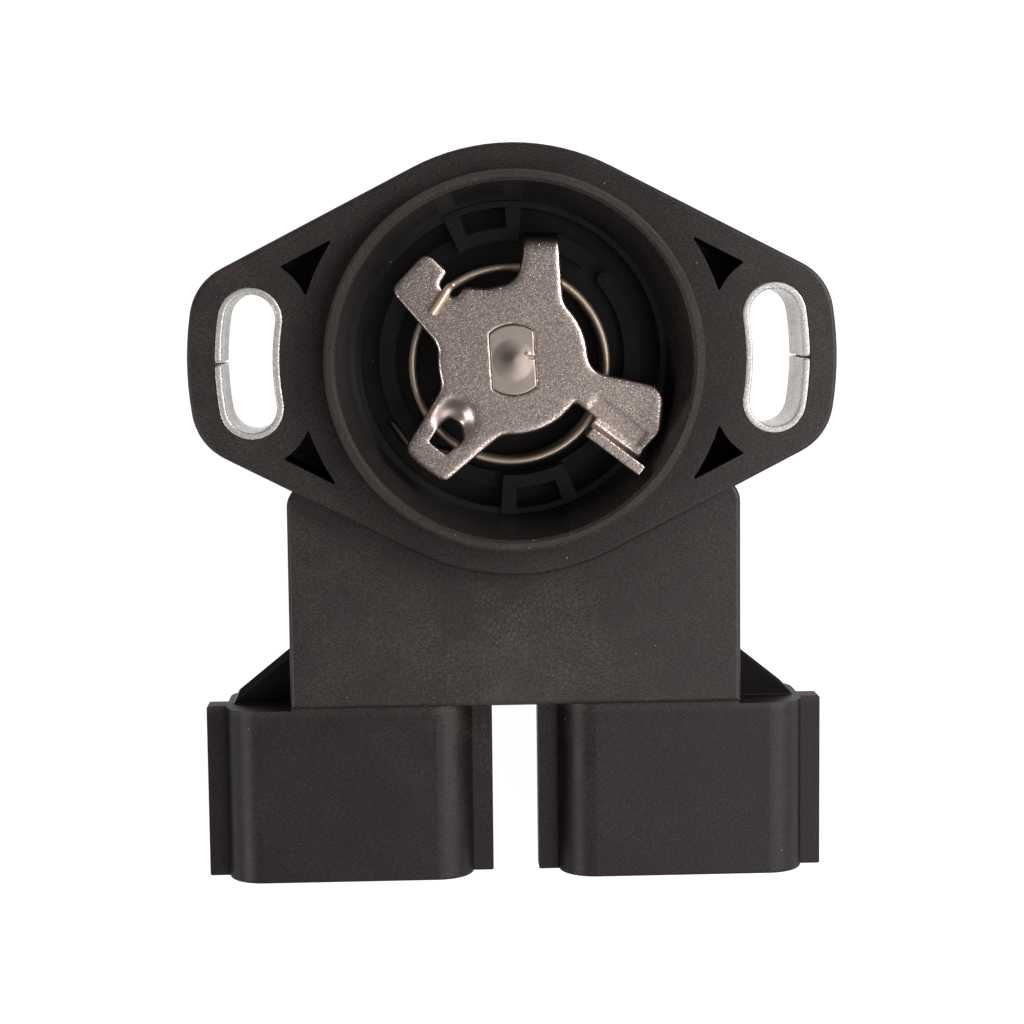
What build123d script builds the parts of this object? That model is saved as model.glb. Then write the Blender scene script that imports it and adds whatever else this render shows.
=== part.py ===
"""Throttle position sensor with two sockets, an open hub well and a spring-returned lever.

Millimetres. The origin is the shaft axis on the mounting face, +Z points out of the hub.
"""
import os
from math import acos, atan, cos, degrees, radians, sin, sqrt

from build123d import *

os.makedirs("parts", exist_ok=True)

# Mounting flange
flange_thickness = 10.3
flange_hub_radius = 24.5
flange_side_angle = 62.87
ear_margin = 6.78
flange_corner_radius = 6.75
flange_edge_radius = 0.5

# Arc slots and their split steel sleeves
slot_hub_gap = 5.57
slot_sweep = 18.9
slot_width = 7.4
sleeve_wall = 0.85
sleeve_seam = 0.2
sleeve_edge_radius = 0.15

# Weight-saving pockets beside the hub
pocket_rim = 2.9
slot_boss_wall = 3.1
pocket_depth = 8.0
pocket_corner_radius = 0.15

# Locating spigot and the open hub well
spigot_radius = 21.4
spigot_height = 3.2
rim_width = 1.2
rim_chamfer = 0.3
wall_foot_radius = 18.2
well_radius = 17.5
ledge_depth = 8.0
well_depth = 13.0
web_thickness = 2.0
boss_radius = 7.5

# Ring rib on the well floor, open beside the stop arm and at the spring's tail
rib_radius = 14.45
rib_width = 1.9
rib_height = 2.2
rib_open_start = 38.5
rib_open_end = 51.5
tail_open_start = 209.0
tail_open_end = 243.0

# Two hollow stops, half a turn apart
stop_start = 85.6
stop_sweep = 29.8
stop_coil_gap = 1.125
stop_bar = 1.45
stop_arm_sweep = 6.0
stop_ledge_rise = 0.3

# Lower block, gussets and back
block_half_width = 26.14
block_top = 13.8
block_bottom = 40.03
block_setback = 2.5
block_corner_radius = 2.8
block_edge_radius = 0.6
rear_radius = 22.5
block_wall = 2.6
gusset_margin = 3.015
gusset_rise = 5.8
gusset_setback = 9.5

# Plug sockets
socket_spacing = 39.06
socket_width = 28.95
socket_setback = 4.0
socket_drop = 0.47
socket_depth = 15.0
socket_length = 20.43
socket_corner_radius = 4.3
socket_wall = 1.8
socket_floor = 4.4
socket_edge_radius = 0.3
wing_span = 33.65
wing_thickness = 3.0
wing_setback = 8.3

# Terminals
terminals_per_socket = 3
terminal_pitch = 4.5
board_pitch = 4.0
board_terminal_centre = 15.5
terminal_width = 2.2
terminal_thickness = 0.8
terminal_recess = 4.9
terminal_lead_in = 0.25
terminal_proud = 0.3
terminal_foot = 4.7
jog_gap = 4.0
jog_length = 4.4

# Rear chamber, board, cover and sealing bead
recess_rim = 1.8
bead_width = 1.0
bead_shortfall = 0.3
cover_thickness = 1.6
cover_sink = 0.4
cover_edge_chamfer = 0.3
cover_ledge = 0.8
board_thickness = 1.0
board_ledge = 1.0
board_clearance = 0.1
board_gap = 1.0
board_air = 1.2
pad_radius = 1.5
pad_spacing_x = 30.0
pad_spacing_y = 12.0
pad_centre = 27.0

# Shaft and what it runs in
shaft_radius = 4.0
shaft_flats = 5.0
flats_turn = 2.8
shaft_proud = 0.12
crown_radius = 2.4
crown_rise = 0.3
running_clearance = 0.03
axial_play = 0.1
bush_wall = 1.5
bush_overhang = 1.0
seal_wall = 2.6
seal_height = 2.6
seal_lip_clearance = 0.05
seal_lip_height = 0.7
washer_radius = 6.3
washer_thickness = 0.5
spindle_radius = 3.0
spindle_flat = 2.2

# Wiper carrier, wipers and clip
carrier_radius = 10.0
carrier_thickness = 1.8
clip_radius = 4.7
clip_thickness = 0.4
clip_slot_width = 0.8
clip_slots = 4
spindle_tail = 0.5
wiper_radius = 8.0
wiper_width = 2.4
wiper_sheet = 0.25
wiper_base = 2.6
wiper_reach = 3.6
wiper_tip = 0.9
wiper_air = 0.08

# Lever, pressed from sheet: hub disc, four arms, a foot bent down and a tab bent up
lever_top = -2.0
lever_thickness = 1.25
lever_hub_radius = 8.6
lever_edge_radius = 0.25
lever_fit = 0.04
foot_left = 1.28
foot_right = 5.45
foot_overlap = 0.85
foot_bend_radius = 0.85
foot_drop = 8.0
stop_arm_roots = [(0.3, 7.6), (5.85, 6.0)]
spring_notch = [(-5.4, 8.35), (-6.25, 7.2), (-6.9, 7.2), (-8.3, 8.55), (-7.3, 10.1)]
spring_arm_tip = [(-9.75, 12.5), (-13.95, 8.1)]
spring_arm_roots = [(-7.0, 0.0), (-2.6, 8.1)]
home_arm_left = [(-6.6, -0.6), (-13.2, -11.0)]
home_arm_right = [(-9.4, -15.2), (0.4, -7.1)]
home_arm_reach = 16.1
tab_arm_edge = [(5.0, 0.0), (10.4, -1.75), (17.5, -3.3), (16.95, -8.4)]
tab_arm_radii = [2.4, 2.2, 1.5]
tab_arm_end = 18.2
tab_angle = -37.5
tab_bend_start = 10.7
tab_bend_side = -0.45
tab_bend_radius = 1.1
tab_inner_end = 11.5
tab_outer_end = 18.3
tab_tip_end = 18.95
tab_height = 4.6
relief_root = (6.8, -4.8)
coin_start = 10.0
coin_width = 2.2
coin_depth = 0.08
coin_end = 17.4
hole_corners = [(-9.75, -9.25), (-7.8, -10.75), (-5.7, -9.1), (-6.1, -7.3), (-7.4, -6.5), (-8.5, -7.4)]
hole_tip_radius = 0.3
dish_centre = (-6.85, -6.75)
dish_radius = 2.5
dish_foot_radius = 1.2
dish_depth = 0.85
arm_tip_radius = 1.1
arm_root_radius = 2.4
arm_roots = [(0.5, 8.6), (5.8, 6.4), (-8.4, 1.7), (-8.1, -2.9), (-1.3, -8.5), (8.5, -1.1)]
notch_radius = 0.25

# Return spring
wire_radius = 0.425
coil_radius = 11.35
coil_centre = (-0.2, -0.75)
coil_pitch = 1.5
coil_turns = 3.6
coil_floor_gap = 0.07
tail_radius = 15.95
tail_end_angle = 208.0
tail_bend_angle = 221.0
tail_bend_radius = 1.2
hook_end = (-9.15, 5.35)
hook_lead = 1.2
hook_gap = 0.07
hook_bend_radius = 0.9

# Levels and radii that follow from the sizes above
full_turn = 360
half_turn = 180
slot_ring_radius = flange_hub_radius + slot_hub_gap
flange_reach = slot_ring_radius + ear_margin
stop_inner_radius = coil_radius - coil_centre[1] + wire_radius + stop_coil_gap
foot_face = stop_inner_radius + foot_overlap
rim_radius = spigot_radius - rim_width
well_floor = -well_depth
ledge_level = -ledge_depth
web_back = -(well_depth + web_thickness)
lever_under = lever_top - lever_thickness
washer_under = lever_under - washer_thickness
boss_top = washer_under - axial_play
seal_floor = boss_top - seal_height
bush_radius = shaft_radius + running_clearance + bush_wall
bush_end = web_back - bush_overhang
seal_radius = shaft_radius + seal_wall
carrier_top = bush_end - axial_play
carrier_under = carrier_top - carrier_thickness
clip_under = carrier_under - clip_thickness
spindle_end = clip_under - spindle_tail
board_front = spindle_end - board_air
board_back = board_front - board_thickness
cover_seat = board_back - board_gap
cover_back = cover_seat - cover_thickness
back_level = cover_back - cover_sink
socket_mid = -socket_setback - socket_depth / 2
socket_top = -(block_bottom + socket_drop)
socket_mouth = socket_top - socket_length
gusset_reach = (socket_spacing + wing_span) / 2 - gusset_margin - block_half_width
cover_inset = recess_rim + bead_width
board_inset = cover_inset + cover_ledge
chamber_inset = board_inset + board_ledge
barrel_radius = rear_radius - recess_rim
terminal_drop = block_bottom - chamber_inset - terminal_proud
terminal_end = terminal_drop - terminal_foot
jog_end = terminal_drop + jog_gap
jog_start = jog_end + jog_length


def ring_sector(inner, outer, start, sweep, mode=Mode.ADD):
    """Draw a flat sector of a ring into the open sketch."""
    with BuildLine(mode=Mode.PRIVATE) as outline:
        outer_arc = CenterArc((0, 0), outer, start, sweep)
        inner_arc = CenterArc((0, 0), inner, start, sweep)
        Line(outer_arc @ 0, inner_arc @ 0)
        Line(outer_arc @ 1, inner_arc @ 1)
    make_face(outline.edges(), mode=mode)


def arc_slot(radius, start, sweep, width, mode=Mode.ADD):
    """Draw a slot with round ends along an arc about the shaft axis."""
    with BuildLine(mode=Mode.PRIVATE) as centre_line:
        CenterArc((0, 0), radius, start, sweep)
    SlotArc(centre_line.line.edge(), width, mode=mode)


def mounting_slot(turn, width, mode=Mode.ADD):
    """Draw one of the two mounting slots, at the side that the turn gives."""
    arc_slot(slot_ring_radius, turn - slot_sweep / 2, slot_sweep, width, mode)


def polygon(corners, mode=Mode.ADD):
    """Draw a closed outline through its corners."""
    with BuildLine(mode=Mode.PRIVATE) as outline:
        Polyline(*corners, close=True)
    make_face(outline.edges(), mode=mode)


with BuildSketch() as rear_shape:
    Circle(rear_radius)
    with Locations((0, -(block_top + block_bottom) / 2)):
        Rectangle(2 * block_half_width, block_bottom - block_top)


def rear_outline(inset):
    """Draw the keyhole shape of the back, drawn in from the outer wall."""
    offset(rear_shape.sketch, amount=-inset, mode=Mode.ADD)


def is_wing_end(edge):
    """Tell the edges at the ends of the sockets' wings."""
    reach = abs(abs(edge.center().X) - socket_spacing / 2)
    return reach > (socket_width + wing_span) / 4


def shaft_end(radius, flats, clearance):
    """Draw the double-D section of the shaft's outer end."""
    Circle(radius + clearance)
    Rectangle(flats + 2 * clearance, 2 * lever_hub_radius, rotation=flats_turn, mode=Mode.INTERSECT)


def spindle_section(mode=Mode.ADD):
    """Draw the D section of the shaft's inner end."""
    flat_angle = degrees(acos(spindle_flat / spindle_radius))
    with BuildLine(mode=Mode.PRIVATE) as outline:
        round_side = CenterArc((0, 0), spindle_radius, flat_angle, full_turn - 2 * flat_angle)
        Line(round_side @ 1, round_side @ 0)
    make_face(outline.edges(), mode=mode)


# Outline of the flange: two straight-sided ears tangent to the hub arcs
side_direction = radians(flange_side_angle)
tangent_x = flange_hub_radius * cos(side_direction)
tangent_y = flange_hub_radius * sin(side_direction)
ear_apex = flange_hub_radius / cos(side_direction)
with BuildSketch() as flange_shape:
    polygon([(tangent_x, tangent_y), (ear_apex, 0), (tangent_x, -tangent_y),
             (-tangent_x, -tangent_y), (-ear_apex, 0), (-tangent_x, tangent_y)])
    Circle(flange_hub_radius)
    Circle(flange_reach, mode=Mode.INTERSECT)
    ear_columns = flange_shape.vertices().group_by(Axis.X)
    fillet(ear_columns[0] + ear_columns[-1], flange_corner_radius)

# Four pockets, left between the rim, the hub and the slot bosses
with BuildSketch() as pocket_shape:
    add(flange_shape.sketch)
    offset(amount=-pocket_rim)
    Circle(flange_hub_radius, mode=Mode.SUBTRACT)
    mounting_slot(0, slot_width + 2 * slot_boss_wall, Mode.SUBTRACT)
    mounting_slot(half_turn, slot_width + 2 * slot_boss_wall, Mode.SUBTRACT)
    fillet(pocket_shape.vertices(), pocket_corner_radius)

# Terminals: blades in the sockets, jogged inside the wall, dropped on to the board
terminals = []
for socket_side in (-1, 1):
    for place in range(terminals_per_socket):
        step = place - (terminals_per_socket - 1) / 2
        socket_x = socket_side * socket_spacing / 2 + step * terminal_pitch
        board_x = socket_side * board_terminal_centre + step * board_pitch
        half = terminal_width / 2
        blade_top = socket_mid + terminal_thickness / 2
        blade_under = blade_top - terminal_thickness
        foot_top = board_front + terminal_thickness
        bend_back = -terminal_drop - terminal_thickness
        with BuildPart() as terminal:
            with BuildSketch(Plane.XY.offset(blade_under)):
                polygon([(socket_x - half, socket_mouth + terminal_recess),
                         (socket_x + half, socket_mouth + terminal_recess),
                         (socket_x + half, -jog_start), (board_x + half, -jog_end),
                         (board_x + half, -terminal_drop), (board_x - half, -terminal_drop),
                         (board_x - half, -jog_end), (socket_x - half, -jog_start)])
            extrude(amount=terminal_thickness)
            with BuildSketch(Plane.YZ.offset(board_x)):
                polygon([(bend_back, blade_top), (-terminal_drop, blade_top), (-terminal_drop, foot_top),
                         (-terminal_end, foot_top), (-terminal_end, board_front), (bend_back, board_front)])
            extrude(amount=half, both=True)
            chamfer(terminal.faces().sort_by(Axis.Y)[0].edges(), terminal_lead_in)
        terminal.part.label = f"terminal_{len(terminals) + 1}"
        terminals.append(terminal.part)

# Housing: block, flange, spigot, sockets and gussets as one moulding
with BuildPart() as housing:
    with BuildSketch(Plane.XY.offset(back_level)) as block_shape:
        add(rear_shape.sketch)
        top_corners = block_shape.vertices().filter_by(lambda corner: abs(corner.X) > rear_radius)
        fillet(top_corners.group_by(Axis.Y)[-1], block_corner_radius)
    extrude(amount=-block_setback - back_level)
    fillet(housing.faces().sort_by(Axis.Z)[-1].outer_wire().edges(), block_edge_radius)

    # Side webs that carry the sockets' outer ends
    with BuildSketch(Plane.XY.offset(-socket_setback - socket_depth)):
        for side in (-1, 1):
            polygon([(side * block_half_width, socket_top + gusset_rise),
                     (side * (block_half_width + gusset_reach), socket_top),
                     (side * block_half_width, socket_top)])
    extrude(amount=socket_setback + socket_depth - gusset_setback)

    # Socket shells with a guide wing along each side, and the necks that join them to the block
    with BuildSketch(Plane.XZ.offset(block_bottom)):
        for side in (-1, 1):
            with Locations((side * socket_spacing / 2, socket_mid)):
                RectangleRounded(socket_width, socket_depth, socket_corner_radius)
        with Locations((0, socket_mid)):
            Rectangle(2 * block_half_width, socket_depth, mode=Mode.INTERSECT)
    extrude(amount=socket_drop)
    with BuildSketch(Plane.XZ.offset(-socket_top)):
        for side in (-1, 1):
            with Locations((side * socket_spacing / 2, socket_mid)):
                RectangleRounded(socket_width, socket_depth, socket_corner_radius)
            with Locations((side * socket_spacing / 2, -wing_setback - wing_thickness / 2)):
                Rectangle(wing_span, wing_thickness)
    extrude(amount=socket_length)
    fillet(housing.faces().sort_by(Axis.Y)[0:2].edges(), socket_edge_radius)
    wing_ends = housing.edges().filter_by(Axis.Z).filter_by(is_wing_end)
    fillet(wing_ends.group_by(Axis.Y)[-1], socket_edge_radius)
    with BuildSketch(Plane.XZ.offset(-socket_mouth)):
        for side in (-1, 1):
            with Locations((side * socket_spacing / 2, socket_mid)):
                RectangleRounded(socket_width - 2 * socket_wall, socket_depth - 2 * socket_wall,
                                 socket_corner_radius - socket_wall)
    extrude(amount=socket_floor - socket_length, mode=Mode.SUBTRACT)

    # Flange with slots and pockets
    with BuildSketch():
        add(flange_shape.sketch)
    extrude(amount=-flange_thickness)
    fillet(housing.faces().sort_by(Axis.Z)[-1].outer_wire().edges(), flange_edge_radius)
    with BuildSketch():
        mounting_slot(0, slot_width)
        mounting_slot(half_turn, slot_width)
    extrude(amount=-flange_thickness, mode=Mode.SUBTRACT)
    with BuildSketch():
        add(pocket_shape.sketch)
    extrude(amount=-pocket_depth, mode=Mode.SUBTRACT)

    # Spigot ring and the well inside it
    with BuildSketch():
        Circle(spigot_radius)
    extrude(amount=spigot_height)
    with BuildSketch(Plane.XZ):
        polygon([(0, spigot_height), (rim_radius, spigot_height), (wall_foot_radius, ledge_level),
                 (well_radius, ledge_level), (well_radius, well_floor), (0, well_floor)])
    revolve(axis=Axis.Z, mode=Mode.SUBTRACT)
    chamfer(housing.edges().filter_by(GeomType.CIRCLE).group_by(Axis.Z)[-1], rim_chamfer)

    # Shaft boss, ring rib and the two stops on the well floor
    with BuildSketch(Plane.XY.offset(well_floor)):
        Circle(boss_radius)
    extrude(amount=boss_top - well_floor)
    with BuildSketch(Plane.XY.offset(well_floor)):
        arc_slot(rib_radius, rib_open_end, tail_open_start - rib_open_end, rib_width)
        arc_slot(rib_radius, tail_open_end, full_turn + rib_open_start - tail_open_end, rib_width)
    extrude(amount=rib_height)
    with BuildSketch(Plane.XY.offset(well_floor)):
        for start in (stop_start, stop_start + half_turn):
            ring_sector(stop_inner_radius, wall_foot_radius, start, stop_sweep)
            ring_sector(stop_inner_radius + stop_bar, well_radius, start + stop_arm_sweep,
                        stop_sweep - 2 * stop_arm_sweep, Mode.SUBTRACT)
    extrude(amount=ledge_level + stop_ledge_rise - well_floor)

    # Rear chamber, stepped for the board and the cover
    with BuildSketch(Plane.XY.offset(back_level)):
        rear_outline(recess_rim)
    extrude(amount=cover_seat - back_level, mode=Mode.SUBTRACT)
    with BuildSketch(Plane.XY.offset(cover_seat)):
        rear_outline(board_inset)
    extrude(amount=board_front - cover_seat, mode=Mode.SUBTRACT)
    with BuildSketch(Plane.XY.offset(board_front)):
        rear_outline(chamber_inset)
    extrude(amount=web_back - board_front, mode=Mode.SUBTRACT)
    with BuildSketch(Plane.XY.offset(web_back)):
        with Locations((0, -(block_top + block_bottom) / 2)):
            Rectangle(2 * (block_half_width - chamber_inset),
                      block_bottom - block_top - 2 * chamber_inset)
        Circle(barrel_radius, mode=Mode.SUBTRACT)
    extrude(amount=-block_setback - block_wall - web_back, mode=Mode.SUBTRACT)

    # Bearing seat through the boss, with a wider pocket for the seal
    with BuildSketch(Plane.XY.offset(bush_end)):
        Circle(boss_radius)
    extrude(amount=web_back - bush_end)
    with BuildSketch(Plane.XY.offset(bush_end)):
        Circle(bush_radius)
    extrude(amount=boss_top - bush_end, mode=Mode.SUBTRACT)
    with BuildSketch(Plane.XY.offset(boss_top)):
        Circle(seal_radius)
    extrude(amount=-seal_height, mode=Mode.SUBTRACT)

    for terminal_part in terminals:
        add(terminal_part, mode=Mode.SUBTRACT)
housing.part.label = "housing"

# Slot sleeves, rolled from strip with the seam on the outer side
sleeves = []
for sleeve_name, turn in (("left_slot_sleeve", half_turn), ("right_slot_sleeve", 0)):
    with BuildPart() as sleeve:
        with BuildSketch():
            mounting_slot(turn, slot_width)
            mounting_slot(turn, slot_width - 2 * sleeve_wall, Mode.SUBTRACT)
            with PolarLocations(slot_ring_radius + slot_width / 2, 1, turn):
                Rectangle(slot_width, sleeve_seam, mode=Mode.SUBTRACT)
        extrude(amount=-flange_thickness)
        fillet(sleeve.edges().group_by(Axis.Z)[-1], sleeve_edge_radius)
    sleeve.part.label = sleeve_name
    sleeves.append(sleeve.part)

# Bush, seal and washer round the shaft
with BuildPart() as shaft_bush:
    with BuildSketch(Plane.XY.offset(bush_end)):
        Circle(bush_radius)
        Circle(shaft_radius + running_clearance, mode=Mode.SUBTRACT)
    extrude(amount=seal_floor - bush_end)
shaft_bush.part.label = "shaft_bush"

lip_radius = shaft_radius + seal_lip_clearance
with BuildPart() as shaft_seal:
    with BuildSketch(Plane.XZ):
        polygon([(lip_radius, boss_top - seal_lip_height), (lip_radius, boss_top), (seal_radius, boss_top),
                 (seal_radius, seal_floor), (bush_radius - bush_wall / 2, seal_floor),
                 (bush_radius - bush_wall / 2, seal_floor + seal_lip_height)])
    revolve(axis=Axis.Z)
shaft_seal.part.label = "shaft_seal"

with BuildPart() as thrust_washer:
    with BuildSketch(Plane.XY.offset(washer_under)):
        Circle(washer_radius)
        Circle(lip_radius, mode=Mode.SUBTRACT)
    extrude(amount=washer_thickness)
thrust_washer.part.label = "thrust_washer"

# Shaft with a double-D end for the lever and a D end for the wiper carrier
with BuildPart() as rotor_shaft:
    with BuildSketch(Plane.XY.offset(carrier_top)):
        Circle(shaft_radius)
    extrude(amount=lever_under - carrier_top)
    with BuildSketch(Plane.XY.offset(lever_under)):
        shaft_end(shaft_radius, shaft_flats, 0)
    extrude(amount=lever_thickness + shaft_proud)
    with BuildSketch(Plane.XZ):
        polygon([(0, lever_top + shaft_proud), (crown_radius, lever_top + shaft_proud),
                 (0, lever_top + shaft_proud + crown_rise)])
    revolve(axis=Axis.Z)
    with BuildSketch(Plane.XY.offset(spindle_end)):
        spindle_section()
    extrude(amount=carrier_top - spindle_end)
rotor_shaft.part.label = "rotor_shaft"

# Lever blank: hub disc and four arms
along_tab = radians(tab_angle)
tab_direction = Vector(cos(along_tab), sin(along_tab))
tab_outward = Vector(sin(along_tab), -cos(along_tab))


def tab_point(along, outward):
    """Return the point at a distance along the bend line and outward from it."""
    point = tab_direction * along + tab_outward * outward
    return (point.X, point.Y)


with BuildSketch() as home_arm:
    polygon(home_arm_left + home_arm_right)
    Circle(home_arm_reach, mode=Mode.INTERSECT)
    fillet(home_arm.vertices().group_by(SortBy.DISTANCE)[-1], arm_tip_radius)
with BuildSketch() as tab_arm:
    polygon(tab_arm_edge + [tab_point(tab_arm_end, tab_bend_side),
                            tab_point(tab_bend_start, tab_bend_side), relief_root])
    for corner, radius in zip(tab_arm_edge[1:], tab_arm_radii):
        fillet(tab_arm.vertices().sort_by_distance(corner)[0], radius)

foot_bend_start = foot_face - foot_bend_radius - lever_thickness


def bent_leg(radius, leg):
    """Draw a sheet that bends through a right angle, its inner face from the sketch's origin."""
    with BuildLine(mode=Mode.PRIVATE) as outline:
        inner = CenterArc((0, radius), radius, -90, 90)
        outer = CenterArc((0, radius), radius + lever_thickness, -90, 90)
        Line(inner @ 0, outer @ 0)
        Polyline(inner @ 1, (radius, leg), (radius + lever_thickness, leg), outer @ 1)
    make_face(outline.edges())


def is_outer_edge(edge):
    """Tell the blank's free edges from the two where it bends."""
    middle = edge.center()
    at_foot = abs(middle.Y - foot_bend_start) < lever_fit
    at_tab = abs(tab_outward.dot(middle) - tab_bend_side) < lever_fit
    return not (at_foot or at_tab)


with BuildPart() as lever:
    with BuildSketch(Plane.XY.offset(lever_top)) as blank:
        Circle(lever_hub_radius)
        polygon(stop_arm_roots + [(foot_right, foot_bend_start), (foot_left, foot_bend_start)])
        polygon(spring_notch + spring_arm_tip + spring_arm_roots)
        add(home_arm.sketch)
        add(tab_arm.sketch)
        for corner in spring_arm_tip:
            fillet(blank.vertices().sort_by_distance(corner)[0], arm_tip_radius)
        for corner in spring_notch:
            fillet(blank.vertices().sort_by_distance(corner)[0], notch_radius)
        for corner in arm_roots:
            fillet(blank.vertices().sort_by_distance(corner)[0], arm_root_radius)
    extrude(amount=-lever_thickness)
    rim = lever.faces().sort_by(Axis.Z)[-1].outer_wire().edges()
    fillet(rim.filter_by(is_outer_edge), lever_edge_radius)

    # Foot that meets the stops
    with BuildSketch(Plane((foot_left, foot_bend_start, lever_under), x_dir=(0, 1, 0), z_dir=(-1, 0, 0))):
        bent_leg(foot_bend_radius, foot_drop - lever_thickness)
    extrude(amount=foot_left - foot_right)

    # Drive tab, with the strip beside it that the bending tool flattened
    tab_x, tab_y = tab_point(tab_inner_end, tab_bend_side)
    with BuildSketch(Plane((tab_x, tab_y, lever_top), x_dir=tab_outward, z_dir=-tab_direction)):
        bent_leg(tab_bend_radius, tab_height)
    extrude(amount=tab_inner_end - tab_outer_end)
    face_x, face_y = tab_point(0, tab_bend_side + tab_bend_radius)
    with BuildSketch(Plane((face_x, face_y, lever_top), x_dir=tab_direction, z_dir=tab_outward)):
        polygon([(tab_inner_end, tab_bend_radius), (tab_outer_end, tab_bend_radius),
                 (tab_tip_end, tab_height), (tab_inner_end, tab_height)])
    extrude(amount=lever_thickness)
    with BuildSketch(Plane.XY.offset(lever_top)):
        polygon([tab_point(coin_start, tab_bend_side), tab_point(coin_end, tab_bend_side),
                 tab_point(coin_end, tab_bend_side - coin_width),
                 tab_point(coin_start, tab_bend_side - coin_width)])
    extrude(amount=-coin_depth, mode=Mode.SUBTRACT)

    # Dished hole in the home arm, and the double-D hole
    for level, mode in ((lever_under, Mode.ADD), (lever_top, Mode.SUBTRACT)):
        with Locations((*dish_centre, level)):
            Cone(dish_foot_radius, dish_radius, dish_depth, mode=mode,
                 align=(Align.CENTER, Align.CENTER, Align.MAX))
    with BuildSketch(Plane.XY.offset(lever_top)) as openings:
        polygon(hole_corners)
        fillet(openings.vertices(), hole_tip_radius)
    extrude(amount=-lever_thickness - dish_depth, mode=Mode.SUBTRACT)
    with BuildSketch(Plane.XY.offset(lever_top)):
        shaft_end(shaft_radius, shaft_flats, lever_fit)
    extrude(amount=-lever_thickness, mode=Mode.SUBTRACT)
lever.part.label = "lever"

# Wiper carrier, its two wipers and the clip that holds it
with BuildPart() as wiper_carrier:
    with BuildSketch(Plane.XY.offset(carrier_under)):
        Circle(carrier_radius)
        spindle_section(Mode.SUBTRACT)
    extrude(amount=carrier_thickness)
wiper_carrier.part.label = "wiper_carrier"

wipers = []
for wiper_name, turn in (("track_wiper", 0), ("switch_wiper", half_turn)):
    across = Vector(cos(radians(turn)), sin(radians(turn)), 0)
    inward = Vector(sin(radians(turn)), -cos(radians(turn)), 0)
    tip_level = board_front + wiper_air
    base_level = carrier_under - wiper_sheet
    with BuildPart() as wiper:
        with BuildSketch(Plane(inward * (wiper_width / 2 - wiper_radius), x_dir=across, z_dir=inward)):
            polygon([(-wiper_base, carrier_under), (0, carrier_under), (wiper_reach, tip_level + wiper_sheet),
                     (wiper_reach + wiper_tip, tip_level + 2 * wiper_sheet),
                     (wiper_reach + wiper_tip, tip_level + wiper_sheet), (wiper_reach, tip_level),
                     (0, base_level), (-wiper_base, base_level)])
        extrude(amount=-wiper_width)
    wiper.part.label = wiper_name
    wipers.append(wiper.part)

with BuildPart() as retaining_clip:
    with BuildSketch(Plane.XY.offset(clip_under)):
        Circle(clip_radius)
        Circle(spindle_radius, mode=Mode.SUBTRACT)
        with PolarLocations(spindle_radius, clip_slots):
            Rectangle(clip_radius - spindle_radius, clip_slot_width, mode=Mode.SUBTRACT)
    extrude(amount=clip_thickness)
retaining_clip.part.label = "retaining_clip"

# Board, cover with hold-down pads, and the sealing bead round the cover
with BuildPart() as resistor_board:
    with BuildSketch(Plane.XY.offset(board_back)):
        rear_outline(board_inset + board_clearance)
    extrude(amount=board_thickness)
resistor_board.part.label = "resistor_board"

with BuildSketch() as cover_shape:
    rear_outline(cover_inset)
with BuildPart() as rear_cover:
    with BuildSketch(Plane.XY.offset(cover_back)):
        add(cover_shape.sketch)
    extrude(amount=cover_thickness)
    chamfer(rear_cover.faces().sort_by(Axis.Z)[0].edges(), cover_edge_chamfer)
    with BuildSketch(Plane.XY.offset(cover_seat)):
        with Locations((0, -pad_centre)):
            with GridLocations(pad_spacing_x, pad_spacing_y, 2, 2):
                Circle(pad_radius)
    extrude(amount=board_gap)
rear_cover.part.label = "rear_cover"

with BuildPart() as potting:
    with BuildSketch(Plane.XY.offset(cover_seat)):
        rear_outline(recess_rim)
        add(cover_shape.sketch, mode=Mode.SUBTRACT)
    extrude(amount=cover_edge_chamfer + bead_shortfall - cover_thickness)
potting.part.label = "potting"

# Return spring: tail in the groove, coil round the boss, hook over the lever's spring arm
tail_lead = sqrt(tail_radius**2 - coil_radius**2)
coil_start_angle = tail_bend_angle + degrees(atan(tail_lead / coil_radius))
coil_bottom = well_floor + wire_radius + coil_floor_gap
coil_height = coil_pitch * coil_turns
coil_plane = Plane((*coil_centre, coil_bottom),
                   x_dir=(cos(radians(coil_start_angle)), sin(radians(coil_start_angle)), 0))
coil = coil_plane.location * Helix(coil_pitch, coil_height, coil_radius)
coil_foot = coil @ 0
coil_head = coil @ 1
hook_root = coil_head + (coil % 1) * hook_lead
hook_level = lever_top + wire_radius + hook_gap
hook_points = [coil_head, hook_root, (hook_root.X, hook_root.Y, hook_level), (*hook_end, hook_level)]
tail_points = [coil_foot]
for angle in (tail_bend_angle, tail_end_angle):
    tail_points.append((tail_radius * cos(radians(angle)), tail_radius * sin(radians(angle)), coil_bottom))
with BuildPart() as return_spring:
    with BuildSketch(Plane(coil_foot, z_dir=coil % 0)):
        Circle(wire_radius)
    sweep(path=coil, is_frenet=True)
    with BuildLine() as hook_line:
        FilletPolyline(*hook_points, radius=hook_bend_radius)
    with BuildSketch(Plane(hook_line.line @ 0, z_dir=hook_line.line % 0)):
        Circle(wire_radius)
    sweep(path=hook_line.line)
    with BuildLine() as tail_line:
        FilletPolyline(*tail_points, radius=tail_bend_radius)
    with BuildSketch(Plane(tail_line.line @ 0, z_dir=tail_line.line % 0)):
        Circle(wire_radius)
    sweep(path=tail_line.line)
return_spring.part.label = "return_spring"

pieces = [housing, shaft_bush, shaft_seal, thrust_washer, rotor_shaft, lever, wiper_carrier,
          retaining_clip, resistor_board, rear_cover, potting, return_spring]
for piece in [builder.part for builder in pieces] + sleeves + terminals + wipers:
    export_step(piece, f"parts/{piece.label}.step")
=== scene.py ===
"""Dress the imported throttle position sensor: moulded case, pressed lever, wound spring, studio."""

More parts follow.
